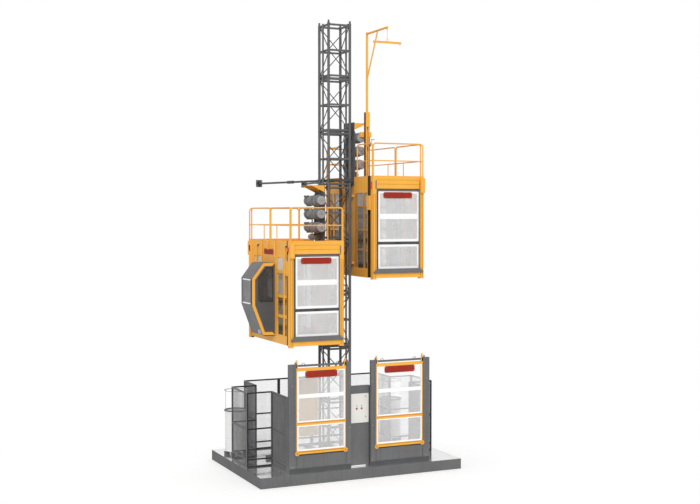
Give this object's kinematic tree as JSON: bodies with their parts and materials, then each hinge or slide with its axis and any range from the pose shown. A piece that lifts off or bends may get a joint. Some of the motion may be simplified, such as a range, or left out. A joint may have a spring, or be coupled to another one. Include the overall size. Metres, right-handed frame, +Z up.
{
  "type": "material hoist",
  "caption": "Rack-and-pinion construction hoist: twin cages beside a lattice mast, with fenced base, landing gates, operator cabs, roof drives, wall tie and a roof jib.",
  "frame": {"origin": "mast axis, on the underside of the foundation slab", "axes": "+Z up along the mast, +X from the left cage to the right cage, +Y to the back, with the landing gates facing -Y"},
  "size_m": [5.97, 6.001, 12.5165],
  "materials": {
    "concrete": "dark painted concrete",
    "galvanised_grey": "grey paint",
    "mesh_grey": "light grey wire",
    "hoist_yellow": "yellow paint",
    "door_white": "white paint",
    "cab_grey": "grey paint",
    "cabinet_cream": "cream paint",
    "rack_steel": "hardened steel, greased",
    "gear_steel": "machined steel",
    "drive_grey": "grey machine enamel",
    "plate_dark": "dark grey paint",
    "floor_steel": "chequer plate",
    "spring_steel": "dark spring steel",
    "stop_red": "red plastic",
    "drum_white": "white paint",
    "rope_steel": "wire rope",
    "weight_iron": "dark primer"
  },
  "bodies": {
    "base": {"foundation_slab": "concrete", "base_frame": "galvanised_grey", "buffer_springs": "spring_steel", "mast_sections": "galvanised_grey", "mast_racks": "rack_steel", "mast_tie": "galvanised_grey", "enclosure_frame": "galvanised_grey", "enclosure_mesh": "mesh_grey", "cable_drums": "drum_white", "cabinet_box": "cabinet_cream"},
    "cabinet_door": {"cabinet_door": "cabinet_cream"},
    "stop_button_left": {"stop_button_left": "stop_red"},
    "stop_button_right": {"stop_button_right": "stop_red"},
    "gate_left": {"gate_left": "hoist_yellow"},
    "gate_right": {"gate_right": "hoist_yellow"},
    "gate_weight_left": {"gate_weight_left": "weight_iron"},
    "gate_weight_right": {"gate_weight_right": "weight_iron"},
    "left_cage": {"left_cage_frame": "hoist_yellow", "left_cage_floor": "floor_steel", "left_cage_mesh": "mesh_grey", "left_railings": "hoist_yellow", "left_cab": "cab_grey", "left_drive_plate": "plate_dark", "left_drive_motors": "drive_grey"},
    "left_pinion_1": {"left_pinion_1": "gear_steel"},
    "left_pinion_2": {"left_pinion_2": "gear_steel"},
    "left_pinion_3": {"left_pinion_3": "gear_steel"},
    "left_governor_pinion": {"left_governor_pinion": "gear_steel"},
    "left_rollers_upper": {"left_rollers_upper": "gear_steel"},
    "left_rollers_lower": {"left_rollers_lower": "gear_steel"},
    "left_front_door": {"left_front_door": "door_white"},
    "left_front_weights": {"left_front_weights": "weight_iron"},
    "left_rear_door": {"left_rear_door": "door_white"},
    "left_rear_weights": {"left_rear_weights": "weight_iron"},
    "left_cab_door": {"left_cab_door": "cab_grey"},
    "left_roof_hatch": {"left_roof_hatch": "hoist_yellow"},
    "right_cage": {"right_cage_frame": "hoist_yellow", "right_cage_floor": "floor_steel", "right_cage_mesh": "mesh_grey", "right_railings": "hoist_yellow", "right_cab": "cab_grey", "right_drive_plate": "plate_dark", "right_drive_motors": "drive_grey", "jib_guide": "hoist_yellow"},
    "right_pinion_1": {"right_pinion_1": "gear_steel"},
    "right_pinion_2": {"right_pinion_2": "gear_steel"},
    "right_pinion_3": {"right_pinion_3": "gear_steel"},
    "right_governor_pinion": {"right_governor_pinion": "gear_steel"},
    "right_rollers_upper": {"right_rollers_upper": "gear_steel"},
    "right_rollers_lower": {"right_rollers_lower": "gear_steel"},
    "right_front_door": {"right_front_door": "door_white"},
    "right_front_weights": {"right_front_weights": "weight_iron"},
    "right_rear_door": {"right_rear_door": "door_white"},
    "right_rear_weights": {"right_rear_weights": "weight_iron"},
    "right_cab_door": {"right_cab_door": "cab_grey"},
    "right_roof_hatch": {"right_roof_hatch": "hoist_yellow"},
    "jib_pole": {"jib_pole": "hoist_yellow", "jib_rope": "rope_steel"},
    "jib_winch": {"jib_winch": "gear_steel"},
    "jib_spreader": {"jib_spreader": "hoist_yellow"}
  },
  "joints": [
    {"name": "cabinet_door_hinge", "type": "hinge", "parent": "base", "child": "cabinet_door", "pos_m": [-0.285, -1.633, 1.8725], "axis": [0, 0, 1], "range_deg": [-80, 0]},
    {"name": "stop_button_left_press", "type": "slide", "parent": "cabinet_door", "child": "stop_button_left", "axis": [0, 1, 0], "range_m": [0, 0.006], "stiffness_N_per_m": 800, "springref_m": -0.004},
    {"name": "stop_button_right_press", "type": "slide", "parent": "cabinet_door", "child": "stop_button_right", "axis": [0, 1, 0], "range_m": [0, 0.006], "stiffness_N_per_m": 800, "springref_m": -0.004},
    {"name": "gate_left_lift", "type": "slide", "parent": "base", "child": "gate_left", "axis": [0, 0, 1], "range_m": [0, 1.9]},
    {"name": "gate_weight_left_drop", "type": "slide", "parent": "base", "child": "gate_weight_left", "axis": [0, 0, 1], "range_m": [-1.9, 0]},
    {"name": "gate_right_lift", "type": "slide", "parent": "base", "child": "gate_right", "axis": [0, 0, 1], "range_m": [0, 1.9]},
    {"name": "gate_weight_right_drop", "type": "slide", "parent": "base", "child": "gate_weight_right", "axis": [0, 0, 1], "range_m": [-1.9, 0]},
    {"name": "left_cage_travel", "type": "slide", "parent": "base", "child": "left_cage", "axis": [0, 0, 1], "range_m": [-3.087, 4.1]},
    {"name": "left_pinion_1_turn", "type": "hinge", "parent": "left_cage", "child": "left_pinion_1", "pos_m": [-0.365, 0.08, 6.757], "axis": [1, 0, 0], "continuous": true},
    {"name": "left_pinion_2_turn", "type": "hinge", "parent": "left_cage", "child": "left_pinion_2", "pos_m": [-0.365, 0.08, 7.132], "axis": [1, 0, 0], "continuous": true},
    {"name": "left_pinion_3_turn", "type": "hinge", "parent": "left_cage", "child": "left_pinion_3", "pos_m": [-0.365, 0.08, 7.507], "axis": [1, 0, 0], "continuous": true},
    {"name": "left_governor_pinion_turn", "type": "hinge", "parent": "left_cage", "child": "left_governor_pinion", "pos_m": [-0.365, 0.08, 6.4945], "axis": [1, 0, 0], "continuous": true},
    {"name": "left_rollers_upper_turn", "type": "hinge", "parent": "left_cage", "child": "left_rollers_upper", "pos_m": [-0.4008, 0, 5.887], "axis": [0, 1, 0], "continuous": true},
    {"name": "left_rollers_lower_turn", "type": "hinge", "parent": "left_cage", "child": "left_rollers_lower", "pos_m": [-0.4008, 0, 4.007], "axis": [0, 1, 0], "continuous": true},
    {"name": "left_front_door_lift", "type": "slide", "parent": "left_cage", "child": "left_front_door", "axis": [0, 0, 1], "range_m": [0, 1.95]},
    {"name": "left_front_weights_drop", "type": "slide", "parent": "left_cage", "child": "left_front_weights", "axis": [0, 0, 1], "range_m": [-1.95, 0]},
    {"name": "left_rear_door_lift", "type": "slide", "parent": "left_cage", "child": "left_rear_door", "axis": [0, 0, 1], "range_m": [0, 1.95]},
    {"name": "left_rear_weights_drop", "type": "slide", "parent": "left_cage", "child": "left_rear_weights", "axis": [0, 0, 1], "range_m": [-1.95, 0]},
    {"name": "left_cab_door_hinge", "type": "hinge", "parent": "left_cage", "child": "left_cab_door", "pos_m": [-1.91, 0.459, 4.816], "axis": [0, 0, 1], "range_deg": [0, 90]},
    {"name": "left_roof_hatch_hinge", "type": "hinge", "parent": "left_cage", "child": "left_roof_hatch", "pos_m": [-1.35, 1.18, 6.117], "axis": [1, 0, 0], "range_deg": [-100, 0]},
    {"name": "right_cage_travel", "type": "slide", "parent": "base", "child": "right_cage", "axis": [0, 0, 1], "range_m": [-4.845, 2.35]},
    {"name": "right_pinion_1_turn", "type": "hinge", "parent": "right_cage", "child": "right_pinion_1", "pos_m": [0.365, 0.08, 8.515], "axis": [1, 0, 0], "continuous": true},
    {"name": "right_pinion_2_turn", "type": "hinge", "parent": "right_cage", "child": "right_pinion_2", "pos_m": [0.365, 0.08, 8.89], "axis": [1, 0, 0], "continuous": true},
    {"name": "right_pinion_3_turn", "type": "hinge", "parent": "right_cage", "child": "right_pinion_3", "pos_m": [0.365, 0.08, 9.265], "axis": [1, 0, 0], "continuous": true},
    {"name": "right_governor_pinion_turn", "type": "hinge", "parent": "right_cage", "child": "right_governor_pinion", "pos_m": [0.365, 0.08, 8.2525], "axis": [1, 0, 0], "continuous": true},
    {"name": "right_rollers_upper_turn", "type": "hinge", "parent": "right_cage", "child": "right_rollers_upper", "pos_m": [0.4008, 0, 7.645], "axis": [0, 1, 0], "continuous": true},
    {"name": "right_rollers_lower_turn", "type": "hinge", "parent": "right_cage", "child": "right_rollers_lower", "pos_m": [0.4008, 0, 5.765], "axis": [0, 1, 0], "continuous": true},
    {"name": "right_front_door_lift", "type": "slide", "parent": "right_cage", "child": "right_front_door", "axis": [0, 0, 1], "range_m": [0, 1.95]},
    {"name": "right_front_weights_drop", "type": "slide", "parent": "right_cage", "child": "right_front_weights", "axis": [0, 0, 1], "range_m": [-1.95, 0]},
    {"name": "right_rear_door_lift", "type": "slide", "parent": "right_cage", "child": "right_rear_door", "axis": [0, 0, 1], "range_m": [0, 1.95]},
    {"name": "right_rear_weights_drop", "type": "slide", "parent": "right_cage", "child": "right_rear_weights", "axis": [0, 0, 1], "range_m": [-1.95, 0]},
    {"name": "right_cab_door_hinge", "type": "hinge", "parent": "right_cage", "child": "right_cab_door", "pos_m": [1.91, 0.459, 6.574], "axis": [0, 0, 1], "range_deg": [-90, 0]},
    {"name": "right_roof_hatch_hinge", "type": "hinge", "parent": "right_cage", "child": "right_roof_hatch", "pos_m": [1.35, 1.18, 7.875], "axis": [1, 0, 0], "range_deg": [-100, 0]},
    {"name": "jib_swing", "type": "hinge", "parent": "right_cage", "child": "jib_pole", "pos_m": [0.716, -0.62, 12], "axis": [0, 0, 1], "range_deg": [-20, 160]},
    {"name": "jib_hoisting", "type": "slide", "parent": "jib_pole", "child": "jib_spreader", "axis": [0, 0, 1], "range_m": [-3.3, 0], "deforming": ["jib_rope"]},
    {"name": "jib_winch_turn", "type": "hinge", "parent": "right_cage", "child": "jib_winch", "pos_m": [0.716, -0.7425, 9.07], "axis": [1, 0, 0], "continuous": true}
  ],
  "couplings": [
    {"joint": "gate_weight_left_drop", "follows": "gate_left_lift", "ratio": -1},
    {"joint": "gate_weight_right_drop", "follows": "gate_right_lift", "ratio": -1},
    {"joint": "left_pinion_1_turn", "follows": "left_cage_travel", "rad_per_m": 16.667},
    {"joint": "left_pinion_2_turn", "follows": "left_cage_travel", "rad_per_m": 16.667},
    {"joint": "left_pinion_3_turn", "follows": "left_cage_travel", "rad_per_m": 16.667},
    {"joint": "left_governor_pinion_turn", "follows": "left_cage_travel", "rad_per_m": 16.667},
    {"joint": "left_rollers_upper_turn", "follows": "left_cage_travel", "rad_per_m": 26.667},
    {"joint": "left_rollers_lower_turn", "follows": "left_cage_travel", "rad_per_m": 26.667},
    {"joint": "left_front_weights_drop", "follows": "left_front_door_lift", "ratio": -1},
    {"joint": "left_rear_weights_drop", "follows": "left_rear_door_lift", "ratio": -1},
    {"joint": "right_pinion_1_turn", "follows": "right_cage_travel", "rad_per_m": 16.667},
    {"joint": "right_pinion_2_turn", "follows": "right_cage_travel", "rad_per_m": 16.667},
    {"joint": "right_pinion_3_turn", "follows": "right_cage_travel", "rad_per_m": 16.667},
    {"joint": "right_governor_pinion_turn", "follows": "right_cage_travel", "rad_per_m": 16.667},
    {"joint": "right_rollers_upper_turn", "follows": "right_cage_travel", "rad_per_m": -26.667},
    {"joint": "right_rollers_lower_turn", "follows": "right_cage_travel", "rad_per_m": -26.667},
    {"joint": "right_front_weights_drop", "follows": "right_front_door_lift", "ratio": -1},
    {"joint": "right_rear_weights_drop", "follows": "right_rear_door_lift", "ratio": -1},
    {"joint": "jib_winch_turn", "follows": "jib_hoisting", "rad_per_m": 27.778}
  ]
}
